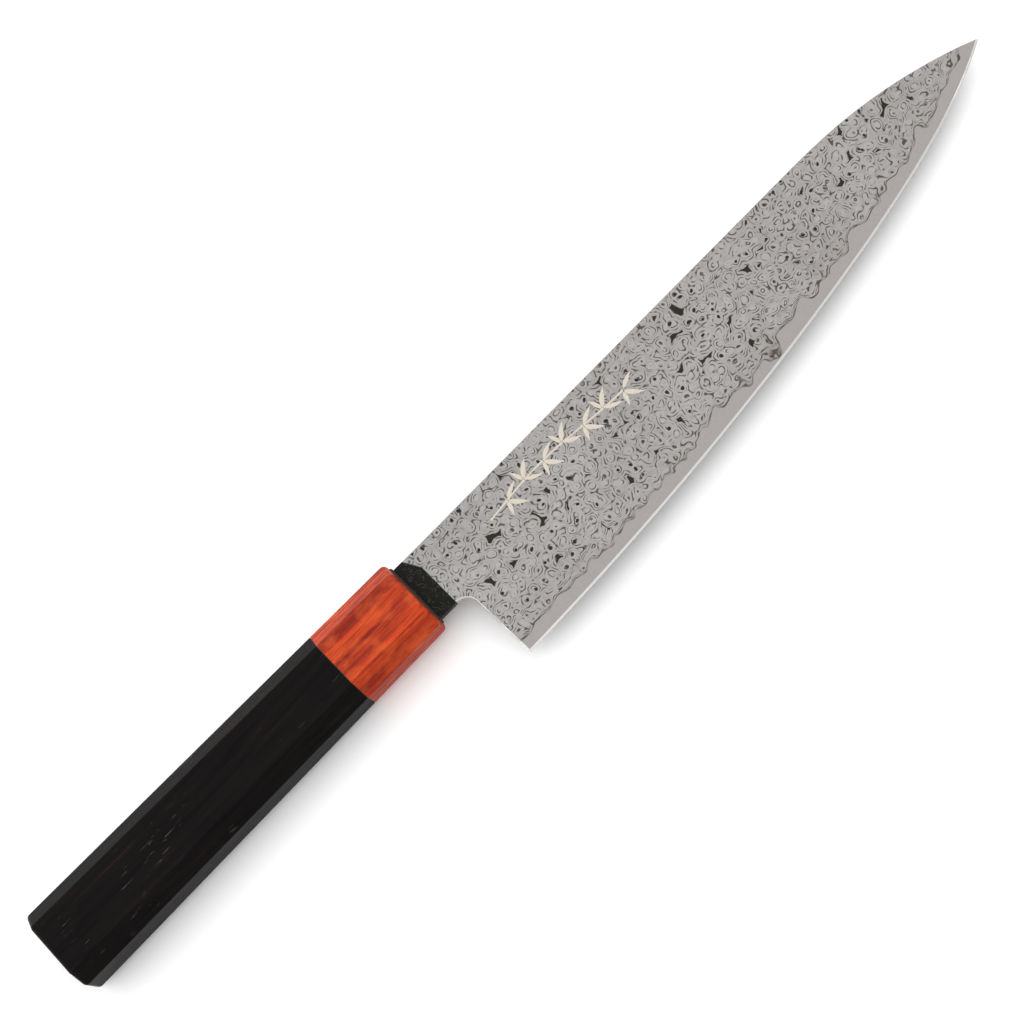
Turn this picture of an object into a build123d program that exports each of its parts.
from build123d import *
import math
import os

# A chef knife in the Japanese manner: a three-layer blade whose tang is glued into a slotted
# dowel, and the dowel into an octagonal handle made of a ferrule and a longer body.
#
# All pieces are drawn in the axes of the blade, in mm: X runs from the heel to the tip, Y from
# the handle axis up to the spine, Z out of the blade's right face, and Z = 0 is the middle plane
# of the blade. Only at export is the knife laid down on the flat of its handle: see resting().

# Blade outline
blade_length = 210.0        # heel to tip
spine_height = 9.6          # straight part of the spine, above the handle axis
heel_depth = 35.1           # cutting edge below the handle axis at the heel
tip_depth = 2.5             # point of the blade below the handle axis
edge_lift = 3.1             # steady lift of the edge along the whole blade
edge_sweep = 23.1           # lift that grows with the square of the distance from the heel
sweep_power = 2
edge_tip_power = 10         # the rest of the lift belongs to the last few centimetres
spine_drop_start = 148.0    # where the spine begins to fall to the tip
spine_drop_power = 2.2
choil_setback = 0.75        # lean of the rear end of the blade, toward the handle
choil_radius = 4.0          # fillet between the choil and the underside of the neck
outline_stations = 13

# Blade section
edge_half = 0.18            # half thickness where the grind runs out at the edge
grind_slope = 0.029         # half thickness gained per mm above the edge
grind_bulge = 0.00011       # convexity of the grind
bevel_width = 0.65          # secondary bevel that is sharpened on the edge
edge_land = 0.02            # half thickness of the very edge
core_half = 0.30            # half thickness of the hard steel core
grind_depth = 47.0          # height above the edge that the ground surface covers
grind_rows = 8
grind_stations = 26
skin_tolerance = 0.001      # fit of the ground surfaces to their rows
overrun = 1.0               # excess of every cutting surface past the outline
reach = 6.0                 # thickness of the blocks that bound the layers

# Neck and tang
neck_half = 1.5             # half thickness of the unground neck
neck_depth = 10.1           # underside of the neck below the handle axis
scale_top = -7.9            # where the unground skin ends at the spine
scale_front = -4.9          # where it ends below the spine
scale_corner = 4.0          # height of the corner between the two
ramp_angle = 50.0           # lean of the ramp from the unground skin down to the ground face
neck_insert = 3.0           # length of full height neck that sits inside the ferrule
tang_length = 96.0          # from the ferrule front to the end of the tang
tang_root = 12.0            # tang height at the neck
tang_end = 7.0              # tang height at its far end
tang_end_half = 1.0         # half thickness of the tang at its far end
tang_corner = 2.0

# Handle
ferrule_front = -11.8
ferrule_length = 29.0
body_length = 112.0
butt_width = 26.8           # in the plane of the blade
butt_thickness = 19.8
butt_chamfer = 4.6
front_width = 24.0
front_thickness = 17.5
front_chamfer = 4.9
facet_radius = 0.5          # softened edges between the eight flats
butt_radius = 1.6
ferrule_radius = 1.5
glue_thickness = 0.25       # glue line between ferrule and body
glue_recess = 0.12          # the glue line lies a little below the wood

# Dowel and glue inside the handle
dowel_diameter = 15.0
dowel_length = 94.0
ferrule_wall = 6.0          # solid front of the ferrule, in front of the dowel
slot_clearance = 0.5        # gap round the tang inside the dowel, filled with glue
mouth_clearance = 0.3       # gap round the neck inside the ferrule, filled with sealant
bead_width = 0.8            # sealant bead that stands out round the neck
bead_height = 0.6
bead_angle = 30.0

tang_tail = ferrule_front - tang_length
neck_tail = ferrule_front - neck_insert
ferrule_tail = ferrule_front - ferrule_length
butt_end = ferrule_tail - body_length
handle_length = ferrule_length + body_length
dowel_front = ferrule_front - ferrule_wall


def edge_y(x):
    """Height of the cutting edge above the handle axis."""
    t = x / blade_length
    edge_tip = heel_depth - tip_depth - edge_lift - edge_sweep
    return -heel_depth + edge_lift * t + edge_sweep * t**sweep_power + edge_tip * t**edge_tip_power


def spine_y(x):
    """Height of the spine above the handle axis."""
    t = max(0.0, (x - spine_drop_start) / (blade_length - spine_drop_start))
    return spine_height - (spine_height + tip_depth) * t**spine_drop_power


def stations(start, end, count):
    """Evenly spaced values from start to end."""
    return [start + (end - start) * i / (count - 1) for i in range(count)]


def block(x_range, y_range, z_range):
    """Box between three pairs of limits."""
    size = [limits[1] - limits[0] for limits in (x_range, y_range, z_range)]
    middle = [(limits[1] + limits[0]) / 2 for limits in (x_range, y_range, z_range)]
    return Pos(*middle) * Box(*size)


def blank_outline():
    """Side view of the whole piece of steel: blade, neck and tang."""
    drop = [(x, spine_y(x)) for x in stations(spine_drop_start, blade_length, outline_stations)]
    edge = [(x, edge_y(x)) for x in stations(blade_length, 0, outline_stations)]
    rear = [
        edge[-1],
        (-choil_setback, -neck_depth),
        (neck_tail, -neck_depth),
        (neck_tail, -tang_root / 2),
        (tang_tail, -tang_end / 2),
        (tang_tail, tang_end / 2),
        (neck_tail, tang_root / 2),
        (neck_tail, spine_height),
        drop[0],
    ]
    face = make_face([Spline(*drop), Spline(*edge), Polyline(*rear)])
    choil = face.vertices().sort_by_distance((-choil_setback, -neck_depth, 0))[0]
    face = fillet(choil, choil_radius)
    ends = face.vertices().group_by(Axis.X)[0]
    return fillet(ends, tang_corner)


def grind(d):
    """Half thickness of the ground blade at height d above the edge."""
    return edge_half + grind_slope * d - grind_bulge * d**2


def bevel(d):
    """Half thickness of the secondary bevel at height d above the edge."""
    return edge_land + (grind(bevel_width) - edge_land) * d / bevel_width


def ground_skin(half_thickness, depths):
    """Surface at the given half thickness above the edge, over the length of the blade."""
    length = stations(ferrule_front - overrun, blade_length + overrun, grind_stations)
    rows = [[(x, edge_y(x) + d, half_thickness(d)) for d in depths] for x in length]
    return Face.make_surface_from_array_of_points(rows, tol=skin_tolerance)


def ground_body():
    """Both ground faces of the blade, not yet cut to the outline."""
    skin = ground_skin(grind, stations(-overrun, grind_depth, grind_rows))
    right = extrude(skin, amount=reach, dir=(0, 0, -1))
    return right & mirror(right, Plane.XY)


def neck_body():
    """Unground steel of the neck, with a ramp down to the ground faces, over the neck's height."""
    top = spine_height + reach
    bottom = -neck_depth - reach
    tail = neck_tail
    skin = Polygon(
        (scale_top - (scale_front - scale_top), top),
        (scale_front, scale_corner),
        (scale_front, bottom),
        (tail, bottom),
        (tail, top),
        align=None,
    )
    right = extrude(Plane.XY.offset(neck_half) * skin, amount=neck_half, dir=(0, 0, -1), taper=-ramp_angle)
    return right + mirror(right, Plane.XY)


def tang_body():
    """Steel of the tang: full thickness in the ferrule, thinner toward its end."""
    side = Polygon(
        (neck_tail, neck_half),
        (tang_tail, tang_end_half),
        (tang_tail, -tang_end_half),
        (neck_tail, -neck_half),
        align=None,
    )
    return extrude(Plane.XZ * side, amount=spine_height, both=True)


def steel():
    """The whole blade with neck and tang, before it is divided into its three layers."""
    blank = extrude(blank_outline(), amount=reach, both=True)
    solid = blank & (ground_body() + neck_body() + tang_body())
    bevel_skin = ground_skin(bevel, (-overrun, 0, bevel_width, 2 * bevel_width))
    right = extrude(bevel_skin, amount=reach, dir=(0, 0, 1))
    return solid - right - mirror(right, Plane.XY)


def steel_layer(solid, low, high):
    """The slice of the blade between two heights above its middle plane."""
    length = (tang_tail - overrun, blade_length + overrun)
    depth = (-heel_depth - overrun, spine_height + overrun)
    return solid & block(length, depth, (low, high))


def octagon(x, width, thickness, chamfer):
    """Corners of the handle's cross-section at x."""
    half_width = width / 2
    half_thickness = thickness / 2
    corner = [
        (half_width, half_thickness - chamfer),
        (half_width - chamfer, half_thickness),
    ]
    upper = corner + [(-y, z) for y, z in reversed(corner)]
    lower = [(-y, -z) for y, z in upper]
    return [(x, y, z) for y, z in upper + lower]


def handle_stick(inset):
    """Tapered eight-sided stick with softened facet edges, drawn in by the given inset."""
    butt = octagon(butt_end, butt_width - 2 * inset, butt_thickness - 2 * inset, butt_chamfer)
    front = octagon(ferrule_front, front_width - 2 * inset, front_thickness - 2 * inset, front_chamfer)
    corners = list(zip(butt, front))
    sides = [(b, f, next_f, next_b) for (b, f), (next_b, next_f) in zip(corners, corners[1:] + corners[:1])]
    flats = [Face(Wire.make_polygon(side)) for side in sides + [butt, front]]
    solid = Solid(Shell(flats))
    ends = solid.faces().sort_by(Axis.X)
    return fillet(solid.edges() - ends[0].edges() - ends[-1].edges(), facet_radius)


def handle_blank():
    """Outer shape of ferrule and body together, with both ends rounded."""
    solid = handle_stick(0)
    solid = fillet(solid.faces().sort_by(Axis.X)[0].edges(), butt_radius)
    return fillet(solid.faces().sort_by(Axis.X)[-1].edges(), ferrule_radius)


def along_x(start, end):
    """Wide block between two stations, for cutting the handle across its axis."""
    side = butt_width
    return block((start, end), (-side, side), (-side, side))


def dowel_bore(start, end):
    """Round bar on the handle axis."""
    bar = Cylinder(dowel_diameter / 2, end - start, align=(Align.CENTER, Align.CENTER, Align.MIN))
    return Plane.YZ.offset(start) * bar


def mouth(clearance):
    """Full height neck inside the ferrule and, behind it, the root of the tang, with clearance."""
    middle = (spine_height - neck_depth) / 2
    half_height = (spine_height + neck_depth) / 2 + clearance
    side = neck_half + clearance
    neck = block((neck_tail, ferrule_front), (middle - half_height, middle + half_height), (-side, side))
    return neck + tang_slot(dowel_front, neck_tail, clearance)


def tang_slot(start, end, clearance):
    """Straight slot that the tang slides into."""
    height = tang_root / 2 + clearance
    side = neck_half + clearance
    return block((start, end), (-height, height), (-side, side))


def ferrule():
    """Front piece of the handle: blind round bore from behind, slot for the neck in front."""
    solid = handle_blank() & along_x(ferrule_tail, ferrule_front)
    return solid - dowel_bore(ferrule_tail, dowel_front) - mouth(mouth_clearance)


def handle_body():
    """Long rear piece of the handle with a blind bore for the dowel."""
    solid = handle_blank() & along_x(butt_end, ferrule_tail - glue_thickness)
    return solid - dowel_bore(dowel_front - dowel_length, ferrule_tail)


def glue_line():
    """Thin collar of glue between the two, recessed into a fine dark line."""
    solid = handle_stick(glue_recess) & along_x(ferrule_tail - glue_thickness, ferrule_tail)
    return solid - dowel_bore(ferrule_tail - glue_thickness, ferrule_tail)


def dowel():
    """Hidden rod that joins ferrule and body, slotted for the tang."""
    bar = dowel_bore(dowel_front - dowel_length, dowel_front)
    return bar - tang_slot(tang_tail - slot_clearance, dowel_front, slot_clearance)


def tang_glue(steel_solid):
    """Resin that fills the slot of the dowel round the tang."""
    return tang_slot(tang_tail - slot_clearance, dowel_front, slot_clearance) - steel_solid


def neck_seal(steel_solid):
    """Sealant round the neck: a sleeve inside the ferrule and a bead in front of it."""
    middle = (spine_height - neck_depth) / 2
    height = spine_height + neck_depth + 2 * bead_width
    side = 2 * (neck_half + bead_width)
    outline = Plane.YZ.offset(ferrule_front) * Pos(middle, 0) * Rectangle(height, side)
    bead = extrude(outline, amount=bead_height, taper=bead_angle)
    return bead + mouth(mouth_clearance) - steel_solid


def resting(solid):
    """Lay the knife on the left flat of its handle, with the middle of that flat at the origin."""
    taper = math.degrees(math.atan2((butt_thickness - front_thickness) / 2, handle_length))
    middle_x = (butt_end + ferrule_front) / 2
    middle_z = (butt_thickness + front_thickness) / 4
    return Rotation(0, taper, 0) * Pos(-middle_x, 0, middle_z) * solid


blade = steel()
pieces = {
    "blade_core": steel_layer(blade, -core_half, core_half),
    "blade_cladding_right": steel_layer(blade, core_half, reach),
    "blade_cladding_left": steel_layer(blade, -reach, -core_half),
    "ferrule": ferrule(),
    "handle_body": handle_body(),
    "ferrule_glue_line": glue_line(),
    "dowel": dowel(),
    "tang_glue": tang_glue(blade),
    "neck_seal": neck_seal(blade),
}
os.makedirs("parts", exist_ok=True)
for node, solid in pieces.items():
    export_step(resting(solid), f"parts/{node}.step")
